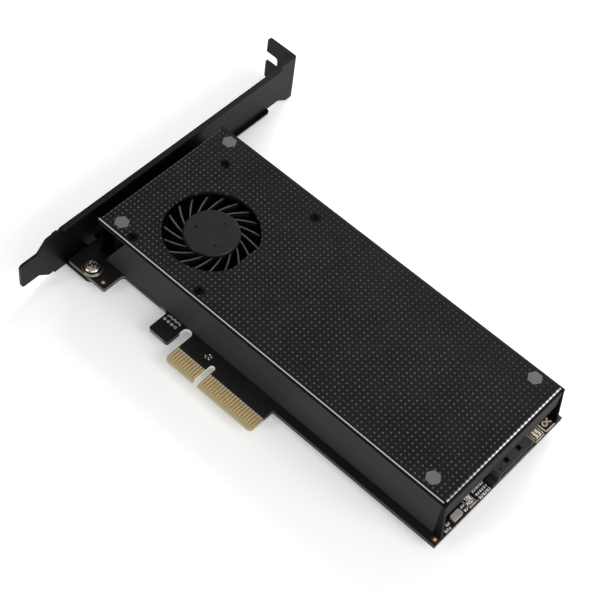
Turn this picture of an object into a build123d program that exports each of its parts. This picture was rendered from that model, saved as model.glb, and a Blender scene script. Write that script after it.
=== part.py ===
from build123d import *
import os
from math import cos, degrees, radians, sin, tan

# Expansion card that carries a storage drive under a cover with a blower fan.
# Millimetres. X runs away from the bracket, Y away from the edge contacts and Z up from the
# component side of the board. The origin is the middle of the key notch, at the contact tips,
# on the board's upper face.

fit_gap = 0.05
clearance = 0.15
thread_sides = 12

# Circuit board
board_thickness = 1.57
board_left = -57.5
board_right = 83.04
board_far_edge = 68.7
board_near_edge = 9.65
board_corner = 0.6
tongue_left = -12.15
tongue_right = 22.15
tongue_corner = 1.3
bevel_angle = 20.0
key_width = 1.9
key_depth = 8.2
slot_width = 3.25
hook_width = 7.73
hook_edge = 4.2
hook_corner = 0.8
recess_edge = 12.3
recess_width = 18.95
recess_fillet = 1.3
header_pitch = 2.0
header_hole = 1.0

# Edge contacts
contact_pitch = 1.0
contact_width = 0.7
contact_start = 1.3
contact_length = 4.23
contact_thickness = 0.04
contacts_before_key = 11
contacts_after_key = 21
key_span = 3.0

# Bracket, one folded sheet
bracket_sheet = 0.86
bracket_inner_x = -59.05
bracket_high_z = 14.47
bracket_low_z = -3.95
bracket_top = 107.0
bracket_length = 120.02
bracket_bend = 1.0
bracket_corner = 1.3
tab_reach = 11.43
tab_slot_width = 4.42
tab_slot_centre_z = 5.9
tab_slot_depth = 4.9
shoulder_y = -2.4
shoulder_step = 0.4
low_shoulder_step = 0.9
taper_end_y = -6.1
tip_width = 10.19
tip_centre_z = 5.26
tip_corner = 1.4
near_flange_reach = 1.95
near_flange_start = 3.4
near_flange_end = 99.4
far_flange_start = 17.0
far_flange_end = 94.4
far_notch_end = 99.5
far_taper_end = 103.5
far_notch_depth = 2.7
ear_corner = 1.2
relief_depth = 1.1
board_tab_width = 9.4
board_tab_centres = (8.5, 56.0)
bracket_hole_x = -50.1
bracket_hole_ys = (7.1, 56.0)
board_tab_end = 2.6
board_tab_corner = 2.2

# Cover, one folded sheet
cover_sheet = 1.0
cover_left = -53.4
cover_setback = 1.74
wall_setback = 0.2
cover_near = 12.4
cover_far = 66.5
cover_top = 16.7
cover_bend = 1.3
end_flange_drop = 8.0
corner_relief = 1.2
corner_cut_foot = 3.4
corner_cut_top = 11.7
corner_cut_height = 15.2
screw_notch_width = 8.0
screw_notch_height = 3.0
inlet_radius = 14.9
inlet_shift_x = -0.2
inlet_flat = 13.8

# Cover standoffs and their screws
standoff_insets_x = (5.9, 8.3)
standoff_insets_y = (4.4, 3.8)
standoff_hex = 4.2
standoff_body = 3.9
standoff_bore = 2.1
standoff_bore_depth = 6.0
standoff_shank = 2.0
standoff_engage = 4.5

# Pan head screws
pan_head_height = 1.6
pan_head_width = 4.4
pan_head_edge = 0.7
bracket_screw_head = 5.6
bracket_screw_flange = 6.9
bracket_screw_flange_height = 0.5
bracket_screw_height = 2.2
bracket_screw_edge = 0.9
bracket_screw_shank = 2.9
cross_length = 2.4
cross_width = 0.6
cross_depth = 0.6

# Fan screws
fan_screw_head = 3.3
fan_screw_shank = 1.6
fan_screw_length = 5.0
fan_screw_sites = ((-42.15, 55.47), (-41.36, 15.25), (-9.10, 60.04), (-14.26, 15.53))

# Blower fan
fan_x = -26.8
fan_y = 33.7
fan_depth = 10.5
fan_floor = 1.0
volute_wall = 1.0
volute_radius = 18.2
volute_shift = 2.1
outlet_height_y = 14.5
outlet_length = 22.0
fan_post_radius = 1.9
hub_radius = 8.7
hub_top = 16.2
hub_wall = 0.8
hub_roof = 1.0
hub_edge = 0.35
dimple_radius = 0.5
dimple_depth = 0.2
dimple_circle = 5.1
dimple_angle = 84.0
blade_count = 19
blade_thickness = 0.62
blade_tip_radius = 14.3
blade_mid_radius = 11.0
blade_start_angle = 109.0
blade_mid_sweep = 15.0
blade_sweep = 26.5
blade_top_gap = 0.5
blade_floor_gap = 1.0
shaft_radius = 0.75
bearing_radius = 2.0
bearing_length = 5.6
boss_radius = 3.0
boss_shoulder = 3.8
boss_shoulder_height = 1.2
magnet_thickness = 0.8
magnet_length = 5.0
stator_radius = 6.2
stator_ring = 4.0
stator_height = 2.0
stator_level = 3.6
stator_arm_width = 1.6
stator_arms = 4
shoe_thickness = 0.8
shoe_width = 5.8
coil_build = 0.7

# Drive socket, its standoff and screw
socket_mouth_x = -11.5
socket_depth = 8.6
socket_width = 21.9
socket_height = 4.2
socket_mouth_height = 1.3
socket_mouth_level = 2.0
socket_mouth_depth = 5.2
socket_centre_y = 31.0
socket_contact_pitch = 0.5
socket_contact_count = 33
drive_length = 80.0
drive_standoff_radius = 2.75
drive_standoff_bore = 1.1
drive_screw_head = 4.6
drive_screw_head_height = 0.8
drive_screw_length = 1.8

# Cable port on the far end
port_near = 38.0
port_width = 15.5
port_height = 4.2
port_depth = 12.0
port_shell = 0.3
port_window = 1.75
port_window_centres = (43.1, 48.75)
port_window_inset = 1.15
port_slit_y = 39.6
port_slit_length = 1.8
port_slit_width = 0.5
port_tongue_width = 10.4
port_tongue_height = 1.2
port_tongue_inset = 1.0
port_key_height = 1.0
port_key_width = 0.8
port_tongue_back = 4.0
port_contact_count = 7
port_contact_pitch = 1.27
port_contact_width = 0.8

# Small parts along the far end; a site is the distance in from the board's end, then Y
chip_height = 0.55
crystal_size = (2.1, 3.8, 0.9)
crystal_corner = 0.5
crystal_site = (1.69, 21.1)
oscillator_side = 2.4
oscillator_cut = 0.45
oscillator_height = 0.8
oscillator_site = (2.44, 27.3)
capacitor_length = 1.0
capacitor_width = 0.55
capacitor_end = 0.28
capacitor_columns = (3.29, 1.89, 0.59)
capacitor_rows = (30.8, 32.5, 34.2)
loose_capacitors = ((1.74, 17.3), (0.74, 15.6), (2.44, 24.6), (1.04, 24.6))
end_chip_size = (2.8, 2.0, 1.0)
end_chip_site = (1.54, 36.6)
status_light_size = (2.4, 3.4, 1.0)
status_light_site = (1.94, 58.3)
header_site = (2.34, 64.2)

# Parts under the cover
controller_size = (11.0, 11.0, 1.2)
controller_centre = (40.0, 52.0)
regulator_size = (4.0, 4.0, 0.9)
regulator_centre = (-30.0, 40.0)
inductor_size = (5.0, 5.0, 3.0)
inductor_centre = (-38.0, 40.0)
fan_header_size = (5.6, 4.4, 3.4)
fan_header_centre = (-8.0, 54.0)
fan_header_wall = 0.6
fan_header_pins = 3
fan_header_pitch = 1.25

board_bottom = -board_thickness
hook_right = tongue_left - slot_width
hook_left = hook_right - hook_width
recess_left = hook_left - recess_width
cover_right = board_right - cover_setback
wall_foot = board_right - wall_setback
standoff_xs = (cover_left + standoff_insets_x[0], cover_right - standoff_insets_x[1])
standoff_ys = (cover_near + standoff_insets_y[0], cover_far - standoff_insets_y[1])
cover_underside = cover_top - cover_sheet
fan_bottom = cover_underside - fan_depth
fan_floor_top = fan_bottom + fan_floor
blade_low = fan_floor_top + blade_floor_gap
blade_high = cover_underside - blade_top_gap
bracket_outer_x = bracket_inner_x - bracket_sheet
bracket_tip = bracket_top - bracket_length


def block(x0, x1, y0, y1, z0, z1):
    """Box between two corners."""
    return Pos((x0 + x1) / 2, (y0 + y1) / 2, (z0 + z1) / 2) * Box(x1 - x0, y1 - y0, z1 - z0)


def chip(centre, size):
    """Box of the given size that stands on the board."""
    return Pos(centre[0], centre[1], size[2] / 2) * Box(*size)


def rod(x, y, radius, z0, z1):
    """Upright cylinder between two levels."""
    return Pos(x, y, (z0 + z1) / 2) * Cylinder(radius, z1 - z0)


def thread(x, y, radius, z0, z1):
    """Upright prism of few sides that stands for a hidden thread or its bore."""
    prism = extrude(RegularPolygon(radius, thread_sides), z1 - z0)
    return Pos(x, y, z0) * prism


def tube(x, y, outer, inner, z0, z1):
    """Upright tube between two levels."""
    return rod(x, y, outer, z0, z1) - rod(x, y, inner, z0 - 1, z1 + 1)


def cross_recess(x, y, mouth, direction):
    """Cross-shaped driver recess that opens at the level mouth; direction is 1 for up."""
    middle = mouth - direction * cross_depth / 2
    arm = Box(cross_length, cross_width, cross_depth)
    return Pos(x, y, middle) * (arm + Rot(0, 0, 90) * arm)


def round_corners(sketch, corners, radius):
    """Fillet the sketch corners that lie nearest to the given points."""
    found = [min(sketch.vertices(), key=lambda v: (v.X - x) ** 2 + (v.Y - y) ** 2) for x, y in corners]
    return fillet(found, radius)


def polar(radius, angle):
    """Point at an angle in degrees about the origin."""
    return (radius * cos(radians(angle)), radius * sin(radians(angle)))


def area(x0, x1, y0, y1):
    """Rectangle between two corners."""
    return Pos((x0 + x1) / 2, (y0 + y1) / 2) * Rectangle(x1 - x0, y1 - y0)


def board_outline():
    """Board outline with its projection, recess, hook, slot, tongue and key notch."""
    outline = area(board_left, board_right, recess_edge, board_far_edge)
    outline += area(board_left, recess_left, hook_edge, recess_edge)
    outline += area(hook_left, hook_right, hook_edge, recess_edge)
    outline += area(tongue_left, tongue_right, 0, recess_edge)
    outline += area(tongue_right, board_right, board_near_edge, recess_edge)
    outline = round_corners(outline, [(tongue_left, 0), (tongue_right, 0)], tongue_corner)
    outline = round_corners(outline, [(hook_left, hook_edge), (hook_right, hook_edge)], hook_corner)
    outline = round_corners(outline, [(board_left, hook_edge), (recess_left, hook_edge)], board_corner)
    outline = round_corners(outline, [(recess_left, recess_edge), (hook_left, recess_edge)], recess_fillet)
    outline = round_corners(outline, [(tongue_right, board_near_edge)], board_corner)
    outline = round_corners(outline, [(hook_right, recess_edge), (tongue_left, recess_edge)],
                            slot_width / 2 - 0.01)
    key = Pos(0, key_depth - key_width / 2) * Circle(key_width / 2)
    key += area(-key_width / 2, key_width / 2, -1, key_depth - key_width / 2)
    return outline - key


def standoff_sites():
    """Centres of the four cover standoffs."""
    return [(x, y) for x in standoff_xs for y in standoff_ys]


def end_site(site):
    """Place on the board of a site that is given from the board's end."""
    return (board_right - site[0], site[1])


def tongue_bevel(face, outward):
    """Wedge that bevels one face of the tongue towards its tip."""
    depth = contact_start * tan(radians(bevel_angle))
    slope = Polyline((contact_start, face), (-contact_start, face - outward * 2 * depth),
                     (-contact_start, face + outward), (contact_start, face + outward), close=True)
    plane = Plane((tongue_left - 1, 0, 0), x_dir=(0, 1, 0), z_dir=(1, 0, 0))
    return extrude(plane * make_face(slope), tongue_right - tongue_left + 2)


def circuit_board():
    """Board with its fixing holes and the two plated holes of the header."""
    board = extrude(board_outline(), -board_thickness)
    for x, y in standoff_sites():
        board -= thread(x, y, standoff_shank / 2 + clearance, board_bottom - 1, 1)
    for y in bracket_hole_ys:
        board -= thread(bracket_hole_x, y, bracket_screw_shank / 2 + clearance, board_bottom - 1, 1)
    x, y = end_site(header_site)
    for side in (-1, 1):
        board -= rod(x, y + side * header_pitch / 2, header_hole / 2, board_bottom - 1, 1)
    for face, outward in ((0, 1), (board_bottom, -1)):
        board -= tongue_bevel(face, outward)
    return board


def contact_positions():
    """Middles of the contacts along the tongue, on both sides of the key notch."""
    first = -(key_span / 2 + (contacts_before_key - 1) * contact_pitch)
    before = [first + i * contact_pitch for i in range(contacts_before_key)]
    after = [key_span / 2 + i * contact_pitch for i in range(contacts_after_key)]
    return before + after


def edge_contacts():
    """Contact strips on both faces of the tongue."""
    strips = []
    for x in contact_positions():
        for low in (0, board_bottom - contact_thickness):
            strips.append(block(x - contact_width / 2, x + contact_width / 2, contact_start,
                                contact_start + contact_length, low, low + contact_thickness))
    return Compound(children=strips)


def bracket_plate():
    """Flat face of the bracket, with its narrowed tip and the step near the top."""
    half_tip = tip_width / 2
    low_shoulder = bracket_low_z + low_shoulder_step
    high = bracket_high_z
    outline = Polyline(
        (bracket_top, high), (bracket_top, bracket_low_z), (far_taper_end, bracket_low_z),
        (far_notch_end, bracket_low_z + far_notch_depth), (far_flange_end, bracket_low_z + far_notch_depth),
        (far_flange_end, bracket_low_z), (0, bracket_low_z), (0, low_shoulder),
        (shoulder_y, low_shoulder), (taper_end_y, tip_centre_z - half_tip),
        (bracket_tip, tip_centre_z - half_tip), (bracket_tip, tip_centre_z + half_tip),
        (taper_end_y, tip_centre_z + half_tip), (shoulder_y, high - shoulder_step),
        (0, high - shoulder_step),
        (0, high), close=True)
    face = make_face(outline)
    face = round_corners(face, [(bracket_tip, tip_centre_z - half_tip),
                                (bracket_tip, tip_centre_z + half_tip)], tip_corner)
    face = round_corners(face, [(far_taper_end, bracket_low_z),
                                (far_notch_end, bracket_low_z + far_notch_depth),
                                (shoulder_y, high - shoulder_step), (shoulder_y, low_shoulder)], ear_corner)
    plane = Plane((bracket_inner_x, 0, 0), x_dir=(0, 1, 0), z_dir=(1, 0, 0))
    return extrude(plane * face, -bracket_sheet)


def bracket_tab():
    """Top tab, folded away from the board, with its slot open to the free edge."""
    free_x = bracket_outer_x - tab_reach
    face = Polyline((bracket_inner_x, bracket_low_z), (free_x, bracket_low_z), (free_x, bracket_high_z),
                    (bracket_inner_x, bracket_high_z), close=True)
    face = round_corners(make_face(face), [(free_x, bracket_low_z), (free_x, bracket_high_z)],
                         bracket_corner)
    slot_end_x = free_x + tab_slot_depth
    slot = area(free_x - 1, slot_end_x, tab_slot_centre_z - tab_slot_width / 2,
                tab_slot_centre_z + tab_slot_width / 2)
    slot = round_corners(slot, [(slot_end_x, tab_slot_centre_z - tab_slot_width / 2),
                                (slot_end_x, tab_slot_centre_z + tab_slot_width / 2)], 1.2)
    plane = Plane((0, bracket_top, 0), x_dir=(1, 0, 0), z_dir=(0, -1, 0))
    return extrude(plane * (face - slot), bracket_sheet)


def bracket_board_tabs():
    """Tabs under the board that take the bracket screws."""
    end_x = bracket_hole_x + board_tab_end
    tabs = []
    for centre, hole in zip(board_tab_centres, bracket_hole_ys):
        tab = area(bracket_inner_x - 0.1, end_x, centre - board_tab_width / 2, centre + board_tab_width / 2)
        corners = [(end_x, centre - board_tab_width / 2), (end_x, centre + board_tab_width / 2)]
        tab = round_corners(tab, corners, board_tab_corner)
        tab -= Pos(bracket_hole_x, hole) * Circle(bracket_screw_shank / 2)
        tabs.append(Pos(0, 0, board_bottom) * extrude(tab, -bracket_sheet))
    return tabs


def bracket_flange(start, end, low):
    """Long stiffening flange with rounded free corners."""
    edge_x = bracket_outer_x + near_flange_reach
    plan = area(bracket_inner_x - 0.1, edge_x, start, end)
    plan = round_corners(plan, [(edge_x, start), (edge_x, end)], near_flange_reach / 2)
    return Pos(0, 0, low) * extrude(plan, bracket_sheet)


def bracket():
    """Folded bracket: plate, top tab, two long stiffening flanges and two board tabs."""
    body = bracket_plate() + bracket_tab()
    bend_edges = [e for e in body.edges().filter_by(Axis.Z)
                  if abs(e.center().Y - bracket_top) < 0.01 and abs(e.center().X - bracket_inner_x) < 0.01]
    body = fillet(bend_edges, bracket_bend)
    body += bracket_flange(near_flange_start, near_flange_end, bracket_high_z - bracket_sheet)
    body += bracket_flange(far_flange_start, far_flange_end, board_bottom - bracket_sheet)
    for tab in bracket_board_tabs():
        body += tab
    relief = Pos(bracket_inner_x, near_flange_start - 0.9, bracket_high_z) * Rot(0, 90, 0)
    return body - relief * Cylinder(relief_depth / 2, 4)


def bracket_screw(x, y):
    """Pan head screw with a flange and a cross recess, threaded into its tab."""
    low = board_bottom - bracket_sheet
    body = rod(x, y, bracket_screw_flange / 2, 0, bracket_screw_flange_height)
    head = rod(x, y, bracket_screw_head / 2, bracket_screw_flange_height, bracket_screw_height)
    rim = head.edges().group_by(Axis.Z)[-1]
    body += chamfer(rim, bracket_screw_edge)
    body += thread(x, y, bracket_screw_shank / 2 - fit_gap, low, 0)
    return body - cross_recess(x, y, bracket_screw_height, 1)


def bracket_screws():
    """The two screws that hold the bracket to the board."""
    return Compound(children=[bracket_screw(bracket_hole_x, y) for y in bracket_hole_ys])


def cover_section(inset, low):
    """Cross-section of the channel, a rectangle with two rounded upper corners."""
    near = cover_near + inset
    far = cover_far - inset
    top = cover_top - inset
    section = area(near, far, low, top)
    return round_corners(section, [(near, top), (far, top)], cover_bend - min(inset, cover_bend - 0.3))


def cover_channel():
    """Top and long walls of the cover."""
    plane = Plane((cover_left, 0, 0), x_dir=(0, 1, 0), z_dir=(1, 0, 0))
    length = wall_foot - cover_left
    outer = extrude(plane * cover_section(0, 0), length)
    outer -= extrude(plane * cover_section(cover_sheet, -1), length)
    bend_start = cover_underside - cover_bend
    slope = Polyline((wall_foot, -1), (wall_foot, 0), (cover_right, bend_start), (cover_right, cover_top + 1),
                     (wall_foot + 1, cover_top + 1), (wall_foot + 1, -1), close=True)
    side = Plane((0, cover_near - 1, 0), x_dir=(1, 0, 0), z_dir=(0, -1, 0))
    return outer - extrude(side * make_face(slope), -(cover_far - cover_near + 2))


def cover_end(x, inward, drop):
    """End of the top folded down into a flange that reaches drop below the top."""
    low = cover_top - drop
    near = cover_near + corner_relief
    far = cover_far - corner_relief
    outer_x = sorted((x, x + inward * 4 * cover_bend))
    slab = area(outer_x[0], outer_x[1], low, cover_top)
    slab = round_corners(slab, [(x, cover_top)], cover_bend)
    hollow_x = sorted((x + inward * cover_sheet, x + inward * 5 * cover_bend))
    hollow = area(hollow_x[0], hollow_x[1], low - 1, cover_underside)
    hollow = round_corners(hollow, [(x + inward * cover_sheet, cover_underside)], cover_bend - cover_sheet)
    plane = Plane((0, far, 0), x_dir=(1, 0, 0), z_dir=(0, -1, 0))
    return extrude(plane * (slab - hollow), far - near)


def corner_cut():
    """Slanted opening at the bracket end of the near wall."""
    foot = cover_left + corner_cut_foot
    outline = Polyline((cover_left - 1, -1), (foot, -1), (foot, 0),
                       (cover_left + corner_cut_top, corner_cut_height),
                       (cover_left - 1, corner_cut_height), close=True)
    plane = Plane((0, cover_near - 1, 0), x_dir=(1, 0, 0), z_dir=(0, -1, 0))
    return extrude(plane * make_face(outline), -(1 + (corner_relief + cover_sheet) / 2))


def inlet_shape():
    """Round inlet, flattened on the side of the fan's outlet."""
    flat_x = fan_x + inlet_shift_x + inlet_flat
    disc = Pos(fan_x + inlet_shift_x, fan_y) * Circle(inlet_radius)
    return disc - area(flat_x, flat_x + inlet_radius, fan_y - inlet_radius, fan_y + inlet_radius)


def hexagon(across_flats):
    """Hexagon with two corners on the X axis."""
    return RegularPolygon(across_flats / 2, 6, major_radius=False)


def cover():
    """Folded cover with its inlet, standoff holes and screw holes."""
    body = cover_channel()
    for x, inward, drop in ((cover_right, -1, end_flange_drop), (cover_left, 1, cover_top)):
        strip = sorted((x - inward, x + inward * (cover_bend + cover_sheet)))
        body -= block(*strip, cover_near + corner_relief, cover_far - corner_relief,
                      cover_underside - cover_bend, cover_top + 1)
        body += cover_end(x, inward, drop)
    body -= corner_cut()
    notch_y = bracket_hole_ys[-1]
    body -= block(cover_left - 1, cover_left + cover_sheet + 1, notch_y - screw_notch_width / 2,
                  notch_y + screw_notch_width / 2, -1, screw_notch_height)
    for x, y in standoff_sites():
        hole = Pos(x, y, cover_underside - 1) * extrude(hexagon(standoff_hex), cover_sheet + 2)
        body -= hole
    for x, y in fan_screw_sites:
        body -= Pos(x, y, cover_top - cover_sheet / 2) * Cone(
            fan_screw_shank / 2 + 0.1, fan_screw_head / 2, cover_sheet)
    inlet = Pos(0, 0, cover_underside - 1) * extrude(inlet_shape(), cover_sheet + 2)
    return body - inlet


def cover_standoff(x, y):
    """Standoff with a hexagonal head flush in the cover and a threaded bore from below."""
    body = rod(x, y, standoff_body / 2, 0, cover_underside)
    body += Pos(x, y, cover_underside) * extrude(hexagon(standoff_hex - 2 * fit_gap), cover_sheet)
    return body - thread(x, y, standoff_bore / 2, -1, standoff_bore_depth)


def cover_standoffs():
    """The four standoffs that carry the cover."""
    return Compound(children=[cover_standoff(x, y) for x, y in standoff_sites()])


def standoff_screw(x, y):
    """Pan head screw from below the board into a standoff."""
    seat = board_bottom
    head = rod(x, y, pan_head_width / 2, seat - pan_head_height, seat)
    head = chamfer(head.edges().group_by(Axis.Z)[0], pan_head_edge)
    body = head + thread(x, y, standoff_shank / 2, seat, standoff_engage)
    return body - cross_recess(x, y, seat - pan_head_height, -1)


def standoff_screws():
    """The four screws below the board."""
    return Compound(children=[standoff_screw(x, y) for x, y in standoff_sites()])


def fan_screw(x, y):
    """Countersunk screw through the cover into a post of the fan housing."""
    body = Pos(x, y, cover_top - cover_sheet / 2) * Cone(
        fan_screw_shank / 2 + 0.1 - fit_gap, fan_screw_head / 2 - fit_gap, cover_sheet)
    body += thread(x, y, fan_screw_shank / 2, cover_top - fan_screw_length, cover_underside)
    return body - cross_recess(x, y, cover_top, 1)


def fan_screws():
    """The four screws that hang the fan from the cover."""
    return Compound(children=[fan_screw(x, y) for x, y in fan_screw_sites])


def volute(radius_extra):
    """Plan of the scroll: a circle set off from the fan axis, run out into the outlet."""
    centre_x = fan_x - volute_shift / 2
    centre_y = fan_y + volute_shift / 2
    radius = volute_radius + radius_extra
    scroll = Pos(centre_x, centre_y) * Circle(radius)
    low_y = centre_y - radius
    return scroll + area(centre_x, fan_x + outlet_length, low_y, low_y + outlet_height_y + 2 * radius_extra)


def fan_housing():
    """Moulded tray: floor, scroll wall, bearing boss and four screw posts."""
    posts = Sketch() + [Pos(*site) * Circle(fan_post_radius) for site in fan_screw_sites]
    floor_plan = make_hull(posts.edges()) + volute(volute_wall)
    body = Pos(0, 0, fan_bottom) * extrude(floor_plan, fan_floor)
    outlet_x = fan_x + outlet_length
    mouth = area(outlet_x - 0.5, outlet_x + 1, fan_y - volute_radius * 2, fan_y + volute_radius * 2)
    wall_plan = volute(volute_wall) - volute(0) - mouth
    body += Pos(0, 0, fan_floor_top) * extrude(wall_plan, cover_underside - fan_floor_top)
    for x, y in fan_screw_sites:
        body += rod(x, y, fan_post_radius, fan_floor_top, cover_underside)
    body += rod(fan_x, fan_y, boss_shoulder, fan_floor_top, fan_floor_top + boss_shoulder_height)
    body += rod(fan_x, fan_y, boss_radius, fan_floor_top, fan_floor_top + bearing_length)
    body -= rod(fan_x, fan_y, bearing_radius + fit_gap, fan_floor_top, cover_top)
    for x, y in fan_screw_sites:
        low = cover_top - fan_screw_length - 0.5
        body -= thread(x, y, fan_screw_shank / 2 + fit_gap, low, cover_top)
    return body


def blade_profile():
    """Plan of one blade, an arc of even thickness that leans back from the hub."""
    def edge_point(radius, angle, side):
        return polar(radius, angle + side * degrees(blade_thickness / 2 / radius))

    root = hub_radius - 0.3
    stations = ((root, blade_start_angle), (blade_mid_radius, blade_start_angle - blade_mid_sweep),
                (blade_tip_radius, blade_start_angle - blade_sweep))
    lead = [edge_point(radius, angle, 1) for radius, angle in stations]
    trail = [edge_point(radius, angle, -1) for radius, angle in stations]
    outline = (ThreePointArc(*lead) + Line(lead[-1], trail[-1]) + ThreePointArc(*trail[::-1])
               + Line(trail[0], lead[0]))
    return make_face(outline)


def fan_impeller():
    """Moulded hub with its thin curved blades."""
    hub = rod(0, 0, hub_radius, blade_low, hub_top)
    hub = chamfer(hub.edges().group_by(Axis.Z)[-1], hub_edge)
    hub -= rod(0, 0, hub_radius - hub_wall, blade_low - 1, hub_top - hub_roof)
    hub += rod(0, 0, shaft_radius + 1.0, hub_top - hub_roof - 2.0, hub_top - hub_roof)
    hub -= rod(0, 0, shaft_radius + 0.02, hub_top - hub_roof - 3.0, hub_top - 0.6)
    for i in range(3):
        x, y = polar(dimple_circle, dimple_angle + 120 * i)
        hub -= rod(x, y, dimple_radius, hub_top - dimple_depth, hub_top + 1)
    profile = blade_profile()
    for i in range(blade_count):
        blade = Rot(0, 0, 360 / blade_count * i) * extrude(profile, blade_high - blade_low)
        hub += Pos(0, 0, blade_low) * blade
    return Pos(fan_x, fan_y) * hub


def fan_shaft():
    """Steel shaft, fixed in the hub and running in the bearing."""
    return rod(fan_x, fan_y, shaft_radius, fan_floor_top + 0.2, hub_top - 0.6)


def fan_bearing():
    """Sintered sleeve in the housing's boss."""
    return tube(fan_x, fan_y, bearing_radius, shaft_radius + fit_gap, fan_floor_top,
                fan_floor_top + bearing_length)


def rotor_magnet():
    """Ring magnet inside the hub."""
    outer = hub_radius - hub_wall - fit_gap
    top = hub_top - hub_roof
    return tube(fan_x, fan_y, outer, outer - magnet_thickness, top - magnet_length, top)


def stator_core():
    """Laminated core: a ring on the boss, four arms and four pole shoes."""
    low = fan_floor_top + boss_shoulder_height
    plan = Circle(stator_ring)
    shoe = Circle(stator_radius) - Circle(stator_radius - shoe_thickness)
    reach = stator_radius - 0.1
    shoes = Sketch()
    for i in range(stator_arms):
        turn = Rot(0, 0, 360 / stator_arms * i)
        plan += turn * area(0, reach, -stator_arm_width / 2, stator_arm_width / 2)
        shoes += turn * area(0, stator_radius + 1, -shoe_width / 2, shoe_width / 2)
    plan += shoe & shoes
    plan -= Circle(boss_radius + fit_gap)
    body = Pos(fan_x, fan_y, fan_floor_top + stator_level) * extrude(plan, stator_height)
    return body + tube(fan_x, fan_y, stator_ring, boss_radius + fit_gap, low, fan_floor_top + stator_level)


def stator_coils():
    """Windings, one round each arm of the core."""
    coils = []
    inner = stator_ring + fit_gap
    half = stator_arm_width / 2
    shoe_inside = stator_radius - shoe_thickness
    outer = (shoe_inside ** 2 - (half + coil_build) ** 2) ** 0.5 - fit_gap
    low = fan_floor_top + stator_level
    for i in range(stator_arms):
        bundle = block(inner, outer, -half - coil_build, half + coil_build, low - coil_build,
                       low + stator_height + coil_build)
        bundle -= block(inner - 1, outer + 1, -half - 0.02, half + 0.02, low - 0.02,
                        low + stator_height + 0.02)
        coils.append(Pos(fan_x, fan_y, 0) * Rot(0, 0, 360 / stator_arms * i) * bundle)
    return Compound(children=coils)


def fan_header():
    """Open-topped header for the fan's plug, with its pins."""
    x, y = fan_header_centre
    length, width, height = fan_header_size
    wall = fan_header_wall
    body = chip(fan_header_centre, fan_header_size)
    body -= block(x - length / 2 + wall, x + length / 2 - wall, y - width / 2 + wall,
                  y + width / 2 - wall, wall, height + 1)
    for i in range(fan_header_pins):
        pin_x = x + (i - (fan_header_pins - 1) / 2) * fan_header_pitch
        body += block(pin_x - 0.2, pin_x + 0.2, y - 0.2, y + 0.2, wall, height - 0.4)
    return body


def drive_socket():
    """Low socket that takes the drive's edge, with its long mouth."""
    near = socket_centre_y - socket_width / 2
    far = socket_centre_y + socket_width / 2
    body = block(socket_mouth_x - socket_depth, socket_mouth_x, near, far, 0, socket_height)
    body -= block(socket_mouth_x - socket_mouth_depth, socket_mouth_x + 1, near + 0.9, far - 0.9,
                  socket_mouth_level, socket_mouth_level + socket_mouth_height)
    return body


def drive_socket_contacts():
    """Contact tails that come out behind the socket, onto the board."""
    back = socket_mouth_x - socket_depth
    first = socket_centre_y - (socket_contact_count - 1) / 2 * socket_contact_pitch
    tails = []
    for i in range(socket_contact_count):
        y = first + i * socket_contact_pitch
        tails.append(block(back - 0.9, back, y - 0.1, y + 0.1, 0, 0.2))
    return Compound(children=tails)


def drive_standoff_x():
    """Centre of the standoff that takes the free end of the drive."""
    return socket_mouth_x - socket_mouth_depth + 1.2 + drive_length


def drive_standoff():
    """Round threaded standoff soldered to the board."""
    return tube(drive_standoff_x(), socket_centre_y, drive_standoff_radius, drive_standoff_bore, 0,
                socket_mouth_level + 0.3)


def drive_screw():
    """Flat head screw in the drive standoff."""
    x = drive_standoff_x()
    seat = socket_mouth_level + 0.3
    top = seat + drive_screw_head_height
    body = rod(x, socket_centre_y, drive_screw_head / 2, seat, top)
    body += thread(x, socket_centre_y, drive_standoff_bore - fit_gap, seat - drive_screw_length, seat)
    return body - cross_recess(x, socket_centre_y, top, 1)


def cable_port_shell():
    """Folded metal shell of the port, open to the card's end, with two latch windows."""
    back = board_right - port_depth
    near = port_near
    far = port_near + port_width
    body = block(back, board_right, near, far, 0, port_height)
    body -= block(back + port_shell, board_right + 1, near + port_shell, far - port_shell, port_shell,
                  port_height - port_shell)
    window_x = board_right - port_window_inset
    for y in port_window_centres:
        body -= block(window_x - port_window, window_x, y - port_window / 2, y + port_window / 2,
                      port_height - 1, port_height + 1)
    body -= block(board_right - port_slit_length - 0.15, board_right - 0.15,
                  port_slit_y - port_slit_width / 2, port_slit_y + port_slit_width / 2,
                  port_height - 1, port_height + 1)
    return body


def port_middle():
    """Middle of the port along the card's end."""
    return port_near + port_width / 2


def cable_port_insert():
    """Insulator at the back of the port, with the tongue that carries the contacts."""
    back = board_right - port_depth + port_shell
    near = port_near + port_shell
    far = port_near + port_width - port_shell
    body = block(back, back + port_tongue_back, near, far, port_shell, port_height - port_shell)
    low = (port_height - port_tongue_height) / 2
    tongue_near = port_middle() - port_tongue_width / 2
    root = back + port_tongue_back
    tip = board_right - port_tongue_inset
    body += block(root, tip, tongue_near, tongue_near + port_tongue_width, low, low + port_tongue_height)
    body += block(root, tip, tongue_near, tongue_near + port_key_width, low - port_key_height, low)
    return body


def cable_port_contacts():
    """Contacts on the lower face of the port's tongue."""
    back = board_right - port_depth + port_shell + port_tongue_back
    first = port_middle() - (port_contact_count - 1) / 2 * port_contact_pitch
    face = (port_height - port_tongue_height) / 2
    strips = []
    for i in range(port_contact_count):
        y = first + i * port_contact_pitch
        strips.append(block(back, board_right - port_tongue_inset, y - port_contact_width / 2,
                            y + port_contact_width / 2, face - contact_thickness, face))
    return Compound(children=strips)


def crystal_can():
    """Metal can with rounded corners."""
    length, width, height = crystal_size
    plan = Pos(*end_site(crystal_site)) * RectangleRounded(length, width, crystal_corner)
    return extrude(plan, height)


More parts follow.
